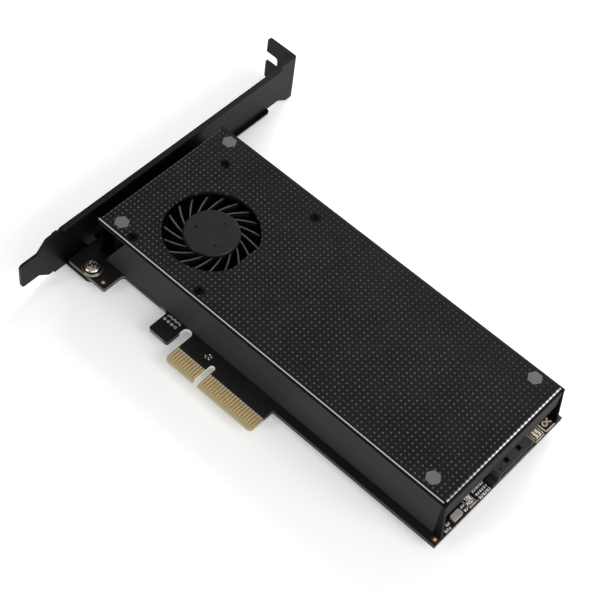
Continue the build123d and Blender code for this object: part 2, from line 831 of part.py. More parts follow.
def oscillator():
    """Square part with cut corners."""
    plan = Rectangle(oscillator_side, oscillator_side)
    plan = chamfer(plan.vertices(), oscillator_cut)
    return Pos(*end_site(oscillator_site)) * extrude(plan, oscillator_height)


def capacitor_sites():
    """Middles of the chip capacitors, each with its long side along Y."""
    grid = [(inset, y) for inset in capacitor_columns for y in capacitor_rows]
    return [end_site(site) for site in grid + list(loose_capacitors)]


def chip_capacitors():
    """Ceramic bodies between the metal ends."""
    middle = capacitor_length - 2 * capacitor_end
    return Compound(children=[chip(site, (capacitor_width, middle, chip_height))
                              for site in capacitor_sites()])


def capacitor_ends():
    """Metal ends of the chip capacitors."""
    ends = []
    shift = (capacitor_length - capacitor_end) / 2
    for x, y in capacitor_sites():
        for side in (-1, 1):
            ends.append(chip((x, y + side * shift), (capacitor_width, capacitor_end, chip_height)))
    return Compound(children=ends)


parts = {
    "circuit_board": circuit_board,
    "edge_contacts": edge_contacts,
    "bracket": bracket,
    "bracket_screws": bracket_screws,
    "cover": cover,
    "cover_standoffs": cover_standoffs,
    "standoff_screws": standoff_screws,
    "fan_screws": fan_screws,
    "fan_housing": fan_housing,
    "fan_impeller": fan_impeller,
    "fan_shaft": fan_shaft,
    "fan_bearing": fan_bearing,
    "rotor_magnet": rotor_magnet,
    "stator_core": stator_core,
    "stator_coils": stator_coils,
    "fan_header": fan_header,
    "drive_socket": drive_socket,
    "drive_socket_contacts": drive_socket_contacts,
    "drive_standoff": drive_standoff,
    "drive_screw": drive_screw,
    "cable_port_shell": cable_port_shell,
    "cable_port_insert": cable_port_insert,
    "cable_port_contacts": cable_port_contacts,
    "crystal_can": crystal_can,
    "oscillator": oscillator,
    "chip_capacitors": chip_capacitors,
    "capacitor_ends": capacitor_ends,
    "end_chip": lambda: chip(end_site(end_chip_site), end_chip_size),
    "status_light": lambda: chip(end_site(status_light_site), status_light_size),
    "controller_chip": lambda: chip(controller_centre, controller_size),
    "regulator_chip": lambda: chip(regulator_centre, regulator_size),
    "power_inductor": lambda: chip(inductor_centre, inductor_size),
}

os.makedirs("parts", exist_ok=True)
for name, make in parts.items():
    export_step(make(), f"parts/{name}.step")
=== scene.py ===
import bmesh
import bpy
from math import cos, pi, radians, sin
from mathutils import Matrix, Vector


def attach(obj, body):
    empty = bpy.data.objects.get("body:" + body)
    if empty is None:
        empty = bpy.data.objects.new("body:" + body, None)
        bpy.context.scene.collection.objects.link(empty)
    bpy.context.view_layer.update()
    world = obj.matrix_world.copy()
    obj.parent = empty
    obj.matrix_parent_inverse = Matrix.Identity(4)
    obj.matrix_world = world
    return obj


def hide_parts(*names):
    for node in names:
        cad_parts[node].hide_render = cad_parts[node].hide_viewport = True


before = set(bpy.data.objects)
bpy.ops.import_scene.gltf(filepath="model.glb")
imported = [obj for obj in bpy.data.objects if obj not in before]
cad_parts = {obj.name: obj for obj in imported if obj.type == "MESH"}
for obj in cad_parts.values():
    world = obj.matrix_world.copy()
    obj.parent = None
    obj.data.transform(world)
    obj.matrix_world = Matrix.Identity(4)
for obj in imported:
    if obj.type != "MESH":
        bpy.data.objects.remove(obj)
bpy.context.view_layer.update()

# One millimetre in metres. Lengths are in millimetres, but for the camera and the studio
MM = 0.001

# Viewing angle of the photograph: places and clip limits in metres, roll in degrees, lens and
# sensor in millimetres
camera_place = (0.163373, -0.189820, 0.393190)
camera_target = (0.0013, 0.0441, 0.0)
camera_roll = -9.41
camera_lens = 96.45
camera_sensor = 36.0
camera_clip = (0.01, 20.0)

# Studio: light added by the floor and its size in metres, then the strength of the sky overhead
# and near the horizon, and the heights between which it fades
floor_lift = 0.25
floor_size = 16.0
world_zenith = 0.36
world_horizon = 0.95
world_fade = (0.12, 0.6)

# Lamps: direction from the card, distance and size in metres, and radiance
lamps = {
    "key_lamp": ((-0.25, 0.8, 0.42), 1.4, 0.6, 13.0),
    "near_lamp": ((-0.33, -0.81, 0.44), 1.1, 0.2, 14.0),
    "end_lamp": ((0.86, 0.1, 0.5), 1.1, 0.7, 4.8),
    "fill_lamp": ((0.62, -0.5, 0.6), 1.4, 0.6, 2.2),
}

# Levels of the object, and of the floor below it
board_top = 0.0
board_low = -1.57
underside_start = -0.8
cover_top = 16.7
floor_level = -4.05

# Cover: lattice of dots, their painted bright middle, rise and gloss, their reach down the bends,
# and how they fade along y
dot_pitch = (1.60, 1.65)
dot_origin = (22.19, 29.12)
dot_radius = 0.38
dot_core = 0.45
dot_rise = 0.1
dot_gloss = 0.12
dot_reach = 0.75
dot_fade = (46.0, 62.0, 1.0, 0.62)

# Cover: its limits in x and y and the radius of its bends
cover_left = -53.4
cover_right = 81.3
cover_near = 12.4
cover_far = 66.5
cover_bend = 1.3

# Cover: screen greys of its top, of its other faces and folds in painted light and shade, of its
# dots with a painted highlight, and of its worn edges
top_greys = (19, 26)
wall_grey = 52
end_wall_shade_grey = 17
side_shade_grey = 5
fold_shade_grey = 6
dot_highlight_grey = 84
worn_grey = 60
fold_share = 0.9
far_fold_dullness = 0.4

# Cover: where its parts begin and end, in degrees round a bend
flat_turn = (22, 12)
fold_turn = (20, 40)
far_fold_turn = (8, 30)
wall_turn = (80, 90)

# Cover: painted highlights along its bends, by middle and half width in degrees round the bend,
# with the share and the screen grey of each, how the end line grows along y, and how far from a
# row of dots the beads fade
near_line_turn = (34, 11)
near_line_share = 0.68
near_highlight_grey = 222
left_line_turn = (25, 14)
left_line_share = 0.12
left_highlight_grey = 190
end_line_turn = (14, 13)
end_line_share = 0.95
end_highlight_grey = 250
end_line_growth = (14.0, 48.0, 0.5, 1.0)
line_core = 0.4
line_shine = 0.1
bead_fade = (0.75, 0.35, 0.25, 1.0)

# Fan: axis and hub
fan_axis = (-26.8, 33.7)
hub_radius = 8.7

# Board: limits of its colour zones and pitches of its patterns along x and y
finger_end = 5.6
finger_blur = 0.15
bevel_top = 1.35
bevel_blur = 0.1
bevel_shade = (0.1, 0.6)
hook_side = -13.0
tongue_side = 23.0
trace_pitch = 1.0
trace_origin = 0.5
trace_width = (0.2, 0.12)
trace_rise = 0.3
trace_fade = (24.0, 21.0)
corner_fade = (-40.0, -44.0)
hook_zone = (-26.0, -17.0)
slot_zone = (-17.0, -11.9)
slot_start = 9.4
notch_half = 1.4
notch_start = 0.9
routed_end = 13.0
weave_pitch = 0.5

# Contacts: rubbed tip and pale root of the plating, along y
tip_fade = (2.4, 1.3)
root_rise = (4.7, 5.2)
root_fall = (6.2, 5.9)

# Motor: pitch of the wire and of the steel sheets
wire_pitch = 0.2
sheet_pitch = 0.35

# Status light: pitch, origin and sway of its leads
lead_pitch = 1.3
lead_origin = 0.3
lead_sway = 1.2

# Cover standoffs: depths below the cover's top between which the shade fades
head_shade = (0.5, 0.2)

# Screws: (radius, height) outlines, length, width and depth of the driver recess, and bevel
pan_flange = [(0, 0), (3.4, 0), (3.42, 0.12), (3.36, 0.34), (3.1, 0.46), (2.72, 0.52), (2.78, 0.7),
              (2.76, 1.1), (2.6, 1.5), (2.3, 1.83), (1.8, 2.05), (1.1, 2.16), (0, 2.2)]
low_pan = [(0, -0.1), (2.15, -0.1), (2.2, 0.05), (2.2, 0.5), (2.05, 0.95), (1.7, 1.3),
           (1.1, 1.52), (0, 1.6)]
countersunk = [(0, 0), (0.85, 0), (1.52, 0.76), (1.58, 0.88), (1.55, 0.97), (0, 0.99)]
flange_recess = (2.9, 0.75, 1.1)
pan_recess = (2.5, 0.6, 0.9)
flat_recess = (2.0, 0.42, 0.6)
flange_bevel = 0.06
pan_bevel = 0.05
flat_bevel = 0.04

# Screws: depth of the flat heads in the cover, taper of a recess and start of its cutter above
# the head, and in degrees the least edge angle that is bevelled and the turn of each copy
flat_head_depth = 1.0
recess_taper = 0.62
recess_start = 0.3
bevel_angle = 38
spin_start = 23
spin_step = 37

# Made pieces: least edge angle that stays sharp, in degrees
sharp_angle = 35

# Print and pads on the board: heights
ink_height = 0.02
pad_height = 0.03
solder_height = 0.06
patch_height = 0.01
header_patch_height = 0.008

# Print and pads on the board: sizes and places
solder_rim = 0.13
fiducials = ((-44.1, 5.9), (81.8, 11.2))
fiducial_radius = 0.5
fiducial_opening = 1.15
header_x = 80.7
header_ys = (63.2, 65.2)
ring_outer = 0.95
ring_inner = 0.5
header_patch = (79.3, 82.3, 61.7, 66.3)

# Hook: count, start, pitch and length of its two rows of pads, their limits in y and line
zigzag_row = (7, -22.3, 0.78, 0.64, 11.2, 11.9, 0.22)
zigzag_lift = 0.12
square_row = (4, -22.5, 1.46, 0.98, 9.4, 10.4, 0.33)

# Tongue: white pads by place and length
tongue_pads = ((-4.4, 9.2, 0.5), (-3.7, 10.3, 0.6), (-3.4, 9.3, 0.4), (-2.8, 10.0, 0.5),
               (-2.9, 8.9, 0.5), (-4.0, 8.6, 0.35))

# Far end: outlines by limits in x and y and line, and bars by limits in x and y
header_outline = (78.9, 82.85, 61.2, 66.8, 0.36)
oscillator_outline = (79.0, 82.3, 25.8, 29.0, 0.13)
light_outline = (79.4, 82.85, 56.1, 60.5, 0.2)
oscillator_bar = (82.5, 82.66, 25.8, 29.6)
port_bar = (82.62, 82.76, 38.4, 53.2)
corner_bar = (82.3, 82.8, 16.6, 17.3)


def colour(red, green, blue):
    """Linear colour from the 0 to 255 values of a screen colour."""
    channels = []
    for value in (red, green, blue):
        share = value / 255
        low = share / 12.92
        channels.append(low if share < 0.04045 else ((share + 0.055) / 1.055) ** 2.4)
    return (*channels, 1.0)


def grey(value):
    """Neutral colour."""
    return colour(value, value, value)


class Graph:
    """A node material round one Principled shader."""

    def __init__(self, name, **constants):
        self.material = bpy.data.materials.new(name)
        self.material.use_nodes = True
        self.tree = self.material.node_tree
        self.shader = self.tree.nodes["Principled BSDF"]
        for key, value in constants.items():
            self.shader.inputs[key.replace("_", " ")].default_value = value
        self.coordinates = self.tree.nodes.new("ShaderNodeTexCoord")

    def node(self, kind, inputs, **settings):
        """New node with its settings and its inputs, given by name or number."""
        made = self.tree.nodes.new(kind)
        for key, value in settings.items():
            setattr(made, key, value)
        for key, value in inputs.items():
            self.feed(made.inputs[key], value)
        return made

    def feed(self, socket, value):
        """Link or set one input."""
        if isinstance(value, bpy.types.NodeSocket):
            self.tree.links.new(value, socket)
        else:
            socket.default_value = value

    def surface(self, **sockets):
        """Link or set sockets of the shader."""
        for key, value in sockets.items():
            self.feed(self.shader.inputs[key.replace("_", " ")], value)
        return self.material

    def place(self, stretch=(1, 1, 1)):
        """Place on the object in millimetres, stretched per axis."""
        scale = [value / MM for value in stretch]
        return self.node("ShaderNodeVectorMath", {0: self.coordinates.outputs["Object"], 1: scale},
                         operation="MULTIPLY").outputs[0]

    def axes(self, vector=None):
        """The three parts of a vector."""
        source = self.place() if vector is None else vector
        return self.node("ShaderNodeSeparateXYZ", {0: source}).outputs

    def facing(self, axis):
        """How much the surface faces along an axis, either way."""
        parts = self.axes(self.coordinates.outputs["Normal"])
        return self.absolute(parts[axis])

    def math(self, operation, first, second=0.0, clamp=False):
        """One sum."""
        return self.node("ShaderNodeMath", {0: first, 1: second}, operation=operation,
                         use_clamp=clamp).outputs[0]

    def times(self, *values):
        """Product of the values."""
        product = values[0]
        for value in values[1:]:
            product = self.math("MULTIPLY", product, value)
        return product

    def minus(self, first, second):
        """Difference of two values."""
        return self.math("SUBTRACT", first, second)

    def absolute(self, value):
        """Size of a value without its sign."""
        return self.math("ABSOLUTE", value)

    def above(self, value, limit):
        """1 where a value is over a limit, and 0 elsewhere."""
        return self.math("GREATER_THAN", value, limit)

    def below(self, value, limit):
        """1 where a value is under a limit, and 0 elsewhere."""
        return self.math("LESS_THAN", value, limit)

    def within(self, value, low, high):
        """1 where a value lies between two limits, and 0 elsewhere."""
        return self.times(self.above(value, low), self.below(value, high))

    def span(self, value, start, end, low=0.0, high=1.0):
        """Value carried smoothly from one span to another."""
        inputs = {"Value": value, "From Min": start, "From Max": end, "To Min": low,
                  "To Max": high}
        return self.node("ShaderNodeMapRange", inputs, interpolation_type="SMOOTHSTEP").outputs[0]

    def noise(self, size, detail=3.0, stretch=(1, 1, 1)):
        """Noise whose lumps have about the given size."""
        inputs = {"Vector": self.place(stretch), "Scale": 1 / size, "Detail": detail,
                  "Roughness": 0.6}
        return self.node("ShaderNodeTexNoise", inputs).outputs[0]

    def mix(self, share, first, second):
        """Mix of two colours."""
        return self.node("ShaderNodeMix", {0: share, 6: first, 7: second},
                         data_type="RGBA").outputs[2]

    def bump(self, height, depth, normal=None):
        """Relief of a height from 0 to 1, with its depth in millimetres."""
        inputs = {"Height": height, "Distance": depth * MM, "Strength": 1.0}
        if normal is not None:
            inputs["Normal"] = normal
        return self.node("ShaderNodeBump", inputs).outputs[0]

    def soft_edge(self, radius):
        """Normal that rounds sharp edges."""
        return self.node("ShaderNodeBevel", {"Radius": radius * MM}, samples=4).outputs[0]

    def edge_share(self, radius):
        """1 on sharp edges and 0 elsewhere."""
        flat = self.node("ShaderNodeNewGeometry", {}).outputs["Normal"]
        dot = self.node("ShaderNodeVectorMath", {0: self.soft_edge(radius), 1: flat},
                        operation="DOT_PRODUCT").outputs["Value"]
        return self.span(dot, 0.995, 0.8)

    def repeat(self, value, pitch, origin):
        """Distance from the nearest line of a row of lines."""
        steps = self.math("DIVIDE", self.minus(value, origin), pitch)
        turns = self.math("ADD", steps, 0.5)
        share = self.minus(self.math("FRACT", turns), 0.5)
        return self.times(share, pitch)

    def length(self, first, second):
        """Length of the flat vector with these parts."""
        squares = self.math("ADD", self.times(first, first), self.times(second, second))
        return self.math("SQRT", squares)


def plastic(name, tone, rough=0.5, grain=0.25, depth=0.02, edge=0.08, gloss=0.4):
    """Moulded plastic with a fine grain, faint marks and worn edges."""
    graph = Graph(name, Specular_IOR_Level=gloss)
    lumps = graph.noise(grain, 4.0)
    marks = graph.noise(9.0, 5.0)
    darker = tuple(value * 0.75 for value in tone[:3]) + (1.0,)
    lighter = tuple(min(1.0, value * 1.35 + 0.004) for value in tone[:3]) + (1.0,)
    base = graph.mix(graph.span(marks, 0.35, 0.7), darker, tone)
    worn = graph.times(graph.edge_share(edge), graph.span(marks, 0.3, 0.6))
    return graph.surface(
        Base_Color=graph.mix(worn, base, lighter),
        Roughness=graph.span(lumps, 0.2, 0.8, rough - 0.08, rough + 0.1),
        Normal=graph.bump(lumps, depth, graph.soft_edge(edge)))


def metal(name, tone, rough=0.3, stretch=(1, 1, 1), grain=0.3, depth=0.006, edge=0.08,
          share=1.0):
    """Bare or plated metal with fine lines, dull patches and bright edges."""
    graph = Graph(name, Metallic=share)
    lines = graph.noise(grain, 4.0, stretch)
    patches = graph.noise(6.0, 5.0)
    dull = tuple(value * 0.7 for value in tone[:3]) + (1.0,)
    base = graph.mix(graph.span(patches, 0.4, 0.75), tone, dull)
    rough_patches = graph.span(patches, 0.3, 0.75, rough, rough + 0.14)
    rough_lines = graph.span(lines, 0.2, 0.8, -0.05, 0.05)
    return graph.surface(
        Base_Color=base,
        Roughness=graph.math("ADD", rough_patches, rough_lines, clamp=True),
        Normal=graph.bump(lines, depth, graph.soft_edge(edge)))


def past_line(graph, across, line, side):
    """Distance past a line on one side of it, or 0 before it."""
    return graph.math("MAXIMUM", graph.times(graph.minus(across, line), side), 0.0)


def unrolled(graph, x, z):
    """Distance along the cover's top, carried on round the bends at its two ends."""
    rise = graph.math("MAXIMUM", graph.minus(z, cover_top - cover_bend), 0.01)
    along = x
    for end, side in ((cover_right - cover_bend, 1), (cover_left + cover_bend, -1)):
        past = past_line(graph, x, end, side)
        turn = graph.math("ARCTAN2", past, rise)
        extra = graph.minus(graph.times(turn, cover_bend), past)
        along = graph.math("ADD", along, graph.times(extra, side))
    return along


def bend_angle(graph, across, centre, side, z):
    """Angle round a bend of the cover, from 0 on its top to a quarter turn on its wall."""
    past = past_line(graph, across, centre, side)
    rise = graph.math("MAXIMUM", graph.minus(z, cover_top - cover_bend), 0.001)
    return graph.math("ARCTAN2", past, rise)


def turn_span(graph, angle, start, end):
    """Share from 0 to 1 between two angles in degrees."""
    return graph.span(angle, radians(start), radians(end))


def highlight_band(graph, angle, middle, half):
    """Mask of a narrow painted highlight along a bend, in degrees round it."""
    away = graph.absolute(graph.minus(angle, radians(middle)))
    return turn_span(graph, away, half, half * line_core)


def cover_paint():
    """Dark coated sheet; its top carries a square lattice of small raised dots."""
    graph = Graph("cover_paint", Specular_IOR_Level=0.05)
    x, y, z = graph.axes()
    row = graph.repeat(unrolled(graph, x, z), dot_pitch[0], dot_origin[0])
    column = graph.repeat(y, dot_pitch[1], dot_origin[1])
    away = graph.length(row, column)

    near_bend = cover_near + cover_bend
    far_bend = cover_far - cover_bend
    end_bend = cover_right - cover_bend
    near_turn = bend_angle(graph, y, near_bend, -1, z)
    end_turn = bend_angle(graph, x, end_bend, 1, z)
    left_turn = bend_angle(graph, x, cover_left + cover_bend, -1, z)
    far_turn = bend_angle(graph, y, far_bend, 1, z)
    turn = graph.math("MAXIMUM", near_turn, end_turn)

    # Dots, on the top only; their lighter grey is a painted highlight on the raised dots
    inside = graph.within(y, near_bend, far_bend)
    on_top = graph.times(graph.above(z, cover_top - cover_bend * dot_reach), inside)
    dome = graph.times(graph.span(away, dot_radius, 0.0), on_top)
    dot = graph.times(graph.span(away, dot_radius, dot_radius * dot_core), on_top)
    patchy = graph.span(graph.noise(2.2, 3.0), 0.3, 0.65, 0.3, 1.0)
    strength = graph.times(patchy, graph.span(y, *dot_fade))
    flat_top = turn_span(graph, turn, *flat_turn)
    dotted = graph.times(dot, strength, flat_top)

    # Painted highlights along the bends; those across the rows of dots are beaded
    bead = graph.times(graph.span(graph.absolute(column), *bead_fade), inside)
    growing = graph.times(bead, graph.span(y, *end_line_growth))
    end_line = graph.times(highlight_band(graph, end_turn, *end_line_turn), growing)
    left_line = graph.times(highlight_band(graph, left_turn, *left_line_turn),
                            graph.span(bead, 0.5, 1.0))
    near_line = graph.times(highlight_band(graph, near_turn, *near_line_turn),
                            graph.below(x, end_bend))

    # Walls and the dark part of each bend, in painted light and shade: the near wall painted
    # lighter than the top, the end wall, far fold, left wall and the dark part of each bend painted
    # as shade
    wall = turn_span(graph, turn, *wall_turn)
    end_wall = turn_span(graph, end_turn, *wall_turn)
    left_wall = turn_span(graph, left_turn, *wall_turn)
    far_fold = turn_span(graph, far_turn, *far_fold_turn)
    fold = graph.minus(turn_span(graph, turn, *fold_turn), wall)

    grain = graph.noise(0.12, 4.0)
    marks = graph.noise(14.0, 5.0)
    worn = graph.times(graph.edge_share(0.1), graph.span(grain, 0.5, 0.8))
    base = graph.mix(graph.span(marks, 0.3, 0.7), *map(grey, top_greys))
    for share, tone in (
            (wall, wall_grey),
            (end_wall, end_wall_shade_grey),
            (far_fold, side_shade_grey),
            (left_wall, side_shade_grey),
            (graph.times(fold, fold_share), fold_shade_grey),
            (dotted, dot_highlight_grey),
            (worn, worn_grey),
            (graph.times(near_line, near_line_share), near_highlight_grey),
            (graph.times(left_line, left_line_share), left_highlight_grey),
            (graph.times(end_line, end_line_share), end_highlight_grey)):
        base = graph.mix(share, base, grey(tone))

    # Painted highlights: the near and end lines also get some metallic share
    shine = graph.math("ADD", graph.times(near_line, line_shine),
                       graph.times(end_line, line_shine))
    rough = graph.minus(graph.span(grain, 0.2, 0.8, 0.42, 0.56), graph.times(dot, dot_gloss))
    rough = graph.math("ADD", rough, graph.times(far_fold, far_fold_dullness), clamp=True)
    relief = graph.bump(grain, 0.003, graph.soft_edge(0.1))
    return graph.surface(
        Base_Color=base,
        Metallic=shine,
        Roughness=rough,
        Normal=graph.bump(dome, dot_rise, relief))


def bracket_paint():
    """Black coat on steel, rubbed along its edges."""
    graph = Graph("bracket_paint", Specular_IOR_Level=0.13)
    grain = graph.noise(0.15, 4.0)
    streaks = graph.noise(3.0, 5.0, (1, 0.12, 1))
    edge = graph.edge_share(0.12)
    rubbed = graph.times(edge, graph.span(streaks, 0.4, 0.65))
    base = graph.mix(graph.span(streaks, 0.3, 0.7), grey(7), grey(12))
    return graph.surface(
        Base_Color=graph.mix(rubbed, base, grey(44)),
        Roughness=graph.span(streaks, 0.25, 0.75, 0.34, 0.48),
        Normal=graph.bump(grain, 0.005, graph.soft_edge(0.15)))


def board_mask():
    """Black solder mask over faint traces, bare laminate at the fingers and at the cut edges."""
    graph = Graph("board_mask", Specular_IOR_Level=0.5)
    x, y, z = graph.axes()
    flat = graph.span(graph.facing(2), 0.6, 0.95)
    past_hook = graph.above(x, hook_side)
    finger_zone = graph.times(graph.span(y, finger_end + finger_blur, finger_end), past_hook)

    # Relief: traces behind the fingers, a net of traces below, and the weave
    trace_line = graph.span(graph.absolute(graph.repeat(x, trace_pitch, trace_origin)),
                            *trace_width)
    trace_zone = graph.times(graph.span(y, finger_end, finger_end + trace_rise),
                             graph.span(y, *trace_fade))
    tongue = graph.times(past_hook, graph.below(x, tongue_side))
    traces = graph.times(trace_line, trace_zone, tongue)
    cross = graph.node("ShaderNodeTexBrick", {
        "Vector": graph.place(), "Scale": 0.35, "Mortar Size": 0.03, "Mortar Smooth": 0.4,
        "Brick Width": 2.6, "Row Height": 0.5}, offset=0.37).outputs["Fac"]
    under = graph.times(cross, graph.below(z, underside_start))
    relief = graph.math("MAXIMUM", traces, under)
    weave = graph.times(graph.span(graph.repeat(x, weave_pitch, 0.0), -0.25, 0.25),
                        graph.span(graph.repeat(y, weave_pitch, 0.0), -0.25, 0.25))

    # Faces
    marks = graph.noise(7.0, 5.0)
    mask = graph.mix(graph.span(marks, 0.3, 0.7), grey(14), grey(20))
    mask = graph.mix(graph.times(relief, 0.5), mask, colour(34, 35, 33))
    laminate = graph.mix(graph.noise(0.4, 4.0), colour(122, 88, 40), colour(146, 112, 58))
    face = graph.mix(finger_zone, mask, laminate)
    bevel_zone = graph.times(graph.span(y, bevel_top, bevel_top - bevel_blur), finger_zone)
    bevel = graph.mix(graph.span(y, *bevel_shade), colour(172, 174, 150), colour(172, 152, 106))
    face = graph.mix(bevel_zone, face, bevel)

    # Cut edges: plain, pale at the corner and the hook, greenish at the fingers, and near white on
    # the cut walls of the key notch and the hook's slot as painted light
    fibres = graph.noise(0.2, 5.0, (0.3, 0.3, 3.0))
    pale_edge = graph.math("MAXIMUM", graph.span(x, *corner_fade), graph.within(x, *hook_zone))
    notch = graph.times(graph.below(graph.absolute(x), notch_half), graph.above(y, notch_start))
    slot = graph.times(graph.within(x, *slot_zone), graph.above(y, slot_start))
    lit_routed = graph.times(graph.math("MAXIMUM", notch, slot), graph.below(y, routed_end))
    cut = graph.mix(fibres, grey(38), grey(58))
    for zone, low, high in (
            (pale_edge, grey(92), grey(124)),
            (finger_zone, colour(158, 158, 134), colour(180, 178, 156)),
            (lit_routed, colour(226, 226, 218), colour(248, 247, 240))):
        cut = graph.mix(zone, cut, graph.mix(fibres, low, high))

    rough = graph.span(graph.noise(0.3, 4.0), 0.2, 0.8, 0.3, 0.44)
    dull = graph.minus(1.0, flat)
    height = graph.math("ADD", relief, graph.times(weave, 0.3))
    return graph.surface(
        Base_Color=graph.mix(flat, cut, face),
        Roughness=graph.math("ADD", rough, graph.times(dull, 0.35)),
        Normal=graph.bump(height, 0.02))


def contact_gold():
    """Gold plate with fine lines along the contact and dull rubbed tips."""
    graph = Graph("contact_gold", Metallic=0.7)
    y = graph.axes()[1]
    lines = graph.noise(0.25, 4.0, (3.0, 0.3, 1.0))
    patches = graph.noise(2.5, 4.0)
    tip = graph.span(y, *tip_fade)
    base = graph.mix(graph.span(patches, 0.3, 0.7), colour(255, 232, 178), colour(246, 218, 160))
    base = graph.mix(graph.times(tip, 0.5), base, colour(244, 230, 190))
    root = graph.times(graph.span(y, *root_rise), graph.span(y, *root_fall))
    base = graph.mix(root, base, colour(255, 250, 236))
    rough = graph.span(lines, 0.2, 0.8, 0.24, 0.4)
    return graph.surface(
        Base_Color=base,
        Roughness=rough,
        Normal=graph.bump(lines, 0.01))


def winding():
    """Enamelled copper wire laid side by side."""
    graph = Graph("winding", Metallic=0.8)
    x, y = graph.axes()[:2]
    wire = graph.absolute(graph.repeat(graph.math("ADD", x, y), wire_pitch, 0.0))
    patches = graph.noise(1.5, 4.0)
    base = graph.mix(patches, colour(150, 76, 38), colour(196, 112, 62))
    return graph.surface(
        Base_Color=base,
        Roughness=graph.span(patches, 0.2, 0.8, 0.28, 0.42),
        Normal=graph.bump(graph.span(wire, 0.1, 0.0), 0.06))


def laminations():
    """Stack of thin steel sheets."""
    graph = Graph("laminations", Metallic=1.0)
    z = graph.axes()[2]
    seam = graph.absolute(graph.repeat(z, sheet_pitch, 0.0))
    line = graph.span(seam, 0.06, 0.0)
    patches = graph.noise(2.0, 4.0)
    base = graph.mix(line, graph.mix(patches, grey(128), grey(160)), grey(60))
    return graph.surface(
        Base_Color=base,
        Roughness=graph.span(patches, 0.2, 0.8, 0.35, 0.5),
        Normal=graph.bump(line, -0.03))


def impeller_plastic():
    """Dark moulded plastic, with a painted highlight along the upper faces of the blades."""
    graph = Graph("impeller_plastic", Specular_IOR_Level=0.2)
    x, y = graph.axes()[:2]
    away = graph.length(graph.minus(x, fan_axis[0]), graph.minus(y, fan_axis[1]))
    # Painted highlight on the upward faces of the blades, patchy with the marks
    on_blades = graph.above(away, hub_radius + 0.1)
    upward = graph.span(graph.axes(graph.coordinates.outputs["Normal"])[2], 0.6, 0.9)
    blade_top_sheen = graph.times(on_blades, upward)
    grain = graph.noise(0.4, 4.0)
    marks = graph.noise(9.0, 5.0)
    base = graph.mix(graph.span(marks, 0.35, 0.7), grey(17), grey(22))
    blade_top_sheen = graph.times(blade_top_sheen, graph.span(marks, 0.2, 0.6, 0.5, 1.0))
    base = graph.mix(blade_top_sheen, base, grey(74))
    return graph.surface(
        Base_Color=base,
        Roughness=graph.span(grain, 0.2, 0.8, 0.34, 0.52),
        Normal=graph.bump(grain, 0.012, graph.soft_edge(0.08)))


def standoff_metal():
    """Dull plated steel on the flush heads, dark in the shade below them."""
    graph = Graph("standoff_metal", Specular_IOR_Level=0.1)
    z = graph.axes()[2]
    grain = graph.noise(0.2, 4.0)
    head = graph.span(z, cover_top - head_shade[0], cover_top - head_shade[1])
    rough = graph.span(grain, 0.2, 0.8, 0.84, 1.0)
    return graph.surface(
        Base_Color=graph.mix(head, grey(6), graph.mix(grain, grey(90), grey(106))),
        Metallic=graph.times(head, 0.2),
        Roughness=graph.minus(rough, graph.times(head, 0.4)),
        Normal=graph.bump(grain, 0.01, graph.soft_edge(0.06)))


def screw_metal():
    """Bright plated steel, with painted shade on its upright sides and in the driver recess."""
    graph = Graph("screw_steel", Metallic=1.0)
    lines = graph.noise(0.2, 4.0)
    patches = graph.noise(6.0, 5.0)
    level = graph.span(graph.facing(2), 0.4, 0.8)
    plate = graph.mix(graph.span(patches, 0.4, 0.75), colour(222, 212, 196), colour(184, 174, 158))
    return graph.surface(
        Base_Color=graph.mix(level, grey(22), plate),
        Roughness=graph.span(lines, 0.2, 0.8, 0.2, 0.34),
        Normal=graph.bump(lines, 0.006, graph.soft_edge(0.08)))


def can_metal():
    """Drawn metal can, brushed along its top, with a painted highlight on its rounded edges."""
    graph = Graph("can_metal", Metallic=0.3)
    lines = graph.noise(0.3, 4.0, (1, 0.2, 1))
    base = graph.mix(lines, colour(176, 166, 162), colour(212, 202, 198))
    return graph.surface(
        Base_Color=graph.mix(graph.edge_share(0.3), base, grey(252)),
        Roughness=graph.span(lines, 0.2, 0.8, 0.26, 0.42),
        Normal=graph.bump(lines, 0.006, graph.soft_edge(0.12)))


def light_body():
    """Cream moulding with dark leads across it."""
    graph = Graph("light_body", Specular_IOR_Level=0.4)
    y = graph.axes()[1]
    grain = graph.noise(0.9, 3.0)
    swayed = graph.math("ADD", y, graph.times(grain, lead_sway))
    lead = graph.span(graph.absolute(graph.repeat(swayed, lead_pitch, lead_origin)), 0.3, 0.2)
    fine = graph.noise(0.15, 4.0)
    return graph.surface(
        Base_Color=graph.mix(lead, colour(250, 236, 208), grey(24)),
        Roughness=graph.span(fine, 0.2, 0.8, 0.4, 0.55),
        Normal=graph.bump(fine, 0.01, graph.soft_edge(0.06)))


def speckled(name, tone, speck, size):
    """Pale moulding with dark, uneven specks."""
    graph = Graph(name, Specular_IOR_Level=0.4)
    lumps = graph.noise(size, 2.0)
    share = graph.span(lumps, 0.5, 0.56)
    grain = graph.noise(0.15, 4.0)
    return graph.surface(
        Base_Color=graph.mix(share, tone, speck),
        Roughness=graph.span(grain, 0.2, 0.8, 0.4, 0.55),
        Normal=graph.bump(grain, 0.01, graph.soft_edge(0.06)))


def print_ink():
    """Printed white marks, a little patchy."""
    graph = Graph("print_ink", Specular_IOR_Level=0.3)
    patches = graph.noise(0.3, 4.0)
    return graph.surface(
        Base_Color=graph.mix(graph.span(patches, 0.3, 0.7), grey(214), grey(246)),
        Roughness=graph.span(patches, 0.2, 0.8, 0.5, 0.7),
        Normal=graph.bump(patches, 0.01))


